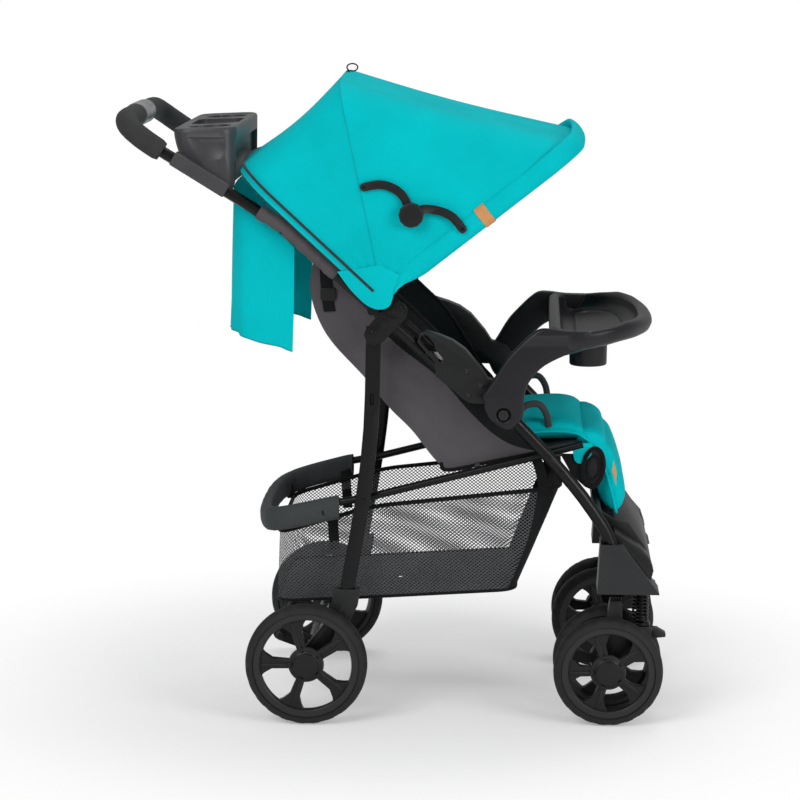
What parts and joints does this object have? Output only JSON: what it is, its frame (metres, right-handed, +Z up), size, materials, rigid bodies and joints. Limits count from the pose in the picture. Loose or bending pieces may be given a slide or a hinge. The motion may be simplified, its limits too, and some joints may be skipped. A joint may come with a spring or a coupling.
{
  "type": "pushchair",
  "caption": "Folding four-wheeled pushchair with a canopy, reclining seat, bumper-bar child tray, parent tray, sprung twin castors and a mesh basket.",
  "frame": {"origin": "centre of the bounding box on the floor, under the seat", "axes": "+X forward, the way the child faces; +Y to the child's left; +Z up; mirror-symmetric about the X-Z plane but for the child tray's cup"},
  "size_m": [0.8488, 0.4794, 0.9932],
  "materials": {
    "black_paint": "semi-gloss",
    "black_plastic": "fine grain",
    "tray_plastic": "satin",
    "grey_plastic": "smooth",
    "tyre": "matte",
    "foam": "matte foam",
    "teal_cloth": "woven",
    "grey_cloth": "woven",
    "black_cloth": "woven webbing",
    "mesh_cloth": "open mesh",
    "bright_steel": "plated"
  },
  "bodies": {
    "front_frame": {"front_leg_right": "black_paint", "front_leg_left": "black_paint", "hinge_housing_right": "black_plastic", "hinge_housing_left": "black_plastic", "front_housing_right": "black_plastic", "front_housing_left": "black_plastic", "foot_plate": "black_plastic", "suspension_spring_right": "black_paint", "suspension_spring_left": "black_paint"},
    "child_tray": {"child_tray": "tray_plastic"},
    "tray_button_right": {"tray_button_right": "black_plastic"},
    "tray_button_left": {"tray_button_left": "black_plastic"},
    "handle_frame": {"push_tube": "black_paint", "handle_grip": "foam", "parent_tray": "tray_plastic", "bracket_plate_right": "black_paint", "bracket_plate_left": "black_paint", "canopy_rear_bow": "black_paint", "canopy_cloth": "teal_cloth", "rear_curtain": "teal_cloth"},
    "release_collar": {"release_collar": "grey_plastic"},
    "latch_rods": {"latch_rod_right": "bright_steel", "latch_rod_left": "bright_steel"},
    "canopy_middle": {"canopy_middle_bow": "black_paint"},
    "canopy_front": {"canopy_front_bow": "black_paint"},
    "arms_rear": {"arm_rear_right": "black_plastic", "arm_rear_left": "black_plastic"},
    "arms_front": {"arm_front_right": "black_plastic", "arm_front_left": "black_plastic"},
    "rear_frame": {"rear_leg_right": "black_paint", "rear_leg_left": "black_paint", "rear_axle": "bright_steel", "rear_housing_right": "black_plastic", "rear_housing_left": "black_plastic"},
    "rear_wheel_right": {"rear_rim_right": "black_plastic", "rear_tyre_right": "tyre"},
    "rear_wheel_left": {"rear_rim_left": "black_plastic", "rear_tyre_left": "tyre"},
    "brake_pedal": {"brake_pedal": "black_plastic"},
    "seat_frame": {"seat_hoop": "black_paint", "bumper_cover": "black_cloth", "seat_board": "black_plastic", "seat_cushion": "teal_cloth", "basket": "mesh_cloth"},
    "backrest": {"backrest_board": "grey_cloth", "backrest_pad": "teal_cloth", "seat_side_right": "grey_cloth", "seat_side_left": "grey_cloth", "harness": "black_cloth"},
    "leg_rest": {"leg_rest_pad": "teal_cloth"},
    "suspension_right": {"kingpin_right": "bright_steel"},
    "castor_right": {"castor_fork_right": "black_plastic"},
    "swivel_lock_right": {"swivel_lock_right": "black_plastic"},
    "front_wheel_right_outer": {"front_wheel_right_outer": "tyre"},
    "front_wheel_right_inner": {"front_wheel_right_inner": "tyre"},
    "suspension_left": {"kingpin_left": "bright_steel"},
    "castor_left": {"castor_fork_left": "black_plastic"},
    "swivel_lock_left": {"swivel_lock_left": "black_plastic"},
    "front_wheel_left_outer": {"front_wheel_left_outer": "tyre"},
    "front_wheel_left_inner": {"front_wheel_left_inner": "tyre"}
  },
  "joints": [
    {"name": "fold", "type": "hinge", "parent": "front_frame", "child": "handle_frame", "pos_m": [0.1184, 0, 0.516], "axis": [0, -1, 0], "range_deg": [0, 92], "deforming": ["basket"]},
    {"name": "rear_leg_fold", "type": "hinge", "parent": "handle_frame", "child": "rear_frame", "pos_m": [-0.0265, 0, 0.6084], "axis": [0, -1, 0], "range_deg": [-61, 0]},
    {"name": "seat_fold", "type": "hinge", "parent": "front_frame", "child": "seat_frame", "pos_m": [0.2409, 0, 0.419], "axis": [0, -1, 0], "range_deg": [0, 60]},
    {"name": "backrest_recline", "type": "hinge", "parent": "seat_frame", "child": "backrest", "pos_m": [0.0849, 0, 0.4], "axis": [0, 1, 0], "range_deg": [-30, 0], "deforming": ["rear_curtain"]},
    {"name": "leg_rest_lift", "type": "hinge", "parent": "seat_frame", "child": "leg_rest", "pos_m": [0.2999, 0, 0.448], "axis": [0, 1, 0], "range_deg": [-55, 0]},
    {"name": "child_tray_lift", "type": "slide", "parent": "front_frame", "child": "child_tray", "axis": [0.5, 0, 0.866], "range_m": [0, 0.03]},
    {"name": "tray_button_push_right", "type": "slide", "parent": "child_tray", "child": "tray_button_right", "axis": [0, 1, 0], "range_m": [0, 0.003], "stiffness_N_per_m": 800, "springref_m": -0.002},
    {"name": "tray_button_push_left", "type": "slide", "parent": "child_tray", "child": "tray_button_left", "axis": [0, -1, 0], "range_m": [0, 0.003], "stiffness_N_per_m": 800, "springref_m": -0.002},
    {"name": "release_twist", "type": "hinge", "parent": "handle_frame", "child": "release_collar", "pos_m": [-0.4058, 0, 0.928], "axis": [0, 1, 0], "range_deg": [0, 30], "stiffness_Nm_per_rad": 0.4, "springref_deg": -20.05},
    {"name": "latch_slide", "type": "slide", "parent": "handle_frame", "child": "latch_rods", "axis": [-0.7415, 0, 0.6709], "range_m": [0, 0.009], "stiffness_N_per_m": 200, "springref_m": -0.004},
    {"name": "canopy_fold", "type": "hinge", "parent": "canopy_middle", "child": "canopy_front", "pos_m": [-0.0101, 0, 0.662], "axis": [0, 1, 0], "range_deg": [-45, 0], "deforming": ["canopy_cloth"]},
    {"name": "canopy_middle_fold", "type": "hinge", "parent": "handle_frame", "child": "canopy_middle", "pos_m": [-0.0101, 0, 0.662], "axis": [0, 1, 0], "range_deg": [-17, 0]},
    {"name": "arms_rear_turn", "type": "hinge", "parent": "canopy_middle", "child": "arms_rear", "pos_m": [-0.0391, 0, 0.832], "axis": [0, 1, 0], "range_deg": [0, 60]},
    {"name": "arms_front_turn", "type": "hinge", "parent": "canopy_front", "child": "arms_front", "pos_m": [0.1089, 0, 0.77], "axis": [0, 1, 0], "range_deg": [-37, 0]},
    {"name": "brake_press", "type": "hinge", "parent": "rear_frame", "child": "brake_pedal", "pos_m": [-0.1301, 0, 0.095], "axis": [0, -1, 0], "range_deg": [0, 20]},
    {"name": "rear_wheel_spin_right", "type": "hinge", "parent": "rear_frame", "child": "rear_wheel_right", "pos_m": [-0.1301, -0.222, 0.095], "axis": [0, 1, 0], "continuous": true},
    {"name": "suspension_travel_right", "type": "slide", "parent": "front_frame", "child": "suspension_right", "axis": [0, 0, 1], "range_m": [0, 0.012], "stiffness_N_per_m": 6000, "springref_m": -0.01, "deforming": ["suspension_spring_right"]},
    {"name": "castor_turn_right", "type": "hinge", "parent": "suspension_right", "child": "castor_right", "pos_m": [0.3849, -0.1705, 0.15], "axis": [0, 0, 1], "continuous": true},
    {"name": "swivel_lock_press_right", "type": "hinge", "parent": "castor_right", "child": "swivel_lock_right", "pos_m": [0.4064, -0.1705, 0.139], "axis": [0, -1, 0], "range_deg": [0, 20]},
    {"name": "front_wheel_spin_right_outer", "type": "hinge", "parent": "castor_right", "child": "front_wheel_right_outer", "pos_m": [0.3354, -0.20975, 0.0851], "axis": [0, 1, 0], "continuous": true},
    {"name": "front_wheel_spin_right_inner", "type": "hinge", "parent": "castor_right", "child": "front_wheel_right_inner", "pos_m": [0.3354, -0.13125, 0.0851], "axis": [0, 1, 0], "continuous": true},
    {"name": "rear_wheel_spin_left", "type": "hinge", "parent": "rear_frame", "child": "rear_wheel_left", "pos_m": [-0.1301, 0.222, 0.095], "axis": [0, 1, 0], "continuous": true},
    {"name": "suspension_travel_left", "type": "slide", "parent": "front_frame", "child": "suspension_left", "axis": [0, 0, 1], "range_m": [0, 0.012], "stiffness_N_per_m": 6000, "springref_m": -0.01, "deforming": ["suspension_spring_left"]},
    {"name": "castor_turn_left", "type": "hinge", "parent": "suspension_left", "child": "castor_left", "pos_m": [0.3849, 0.1705, 0.15], "axis": [0, 0, 1], "continuous": true},
    {"name": "swivel_lock_press_left", "type": "hinge", "parent": "castor_left", "child": "swivel_lock_left", "pos_m": [0.4064, 0.1705, 0.139], "axis": [0, -1, 0], "range_deg": [0, 20]},
    {"name": "front_wheel_spin_left_outer", "type": "hinge", "parent": "castor_left", "child": "front_wheel_left_outer", "pos_m": [0.3354, 0.20975, 0.0851], "axis": [0, 1, 0], "continuous": true},
    {"name": "front_wheel_spin_left_inner", "type": "hinge", "parent": "castor_left", "child": "front_wheel_left_inner", "pos_m": [0.3354, 0.13125, 0.0851], "axis": [0, 1, 0], "continuous": true}
  ],
  "couplings": [
    {"joint": "rear_leg_fold", "follows": "fold", "ratio": -0.6513},
    {"joint": "seat_fold", "follows": "fold", "ratio": 0.6433},
    {"joint": "canopy_middle_fold", "follows": "canopy_fold", "ratio": 0.3551},
    {"joint": "arms_rear_turn", "follows": "canopy_fold", "ratio": -1.2831},
    {"joint": "arms_front_turn", "follows": "canopy_fold", "ratio": 0.787}
  ]
}
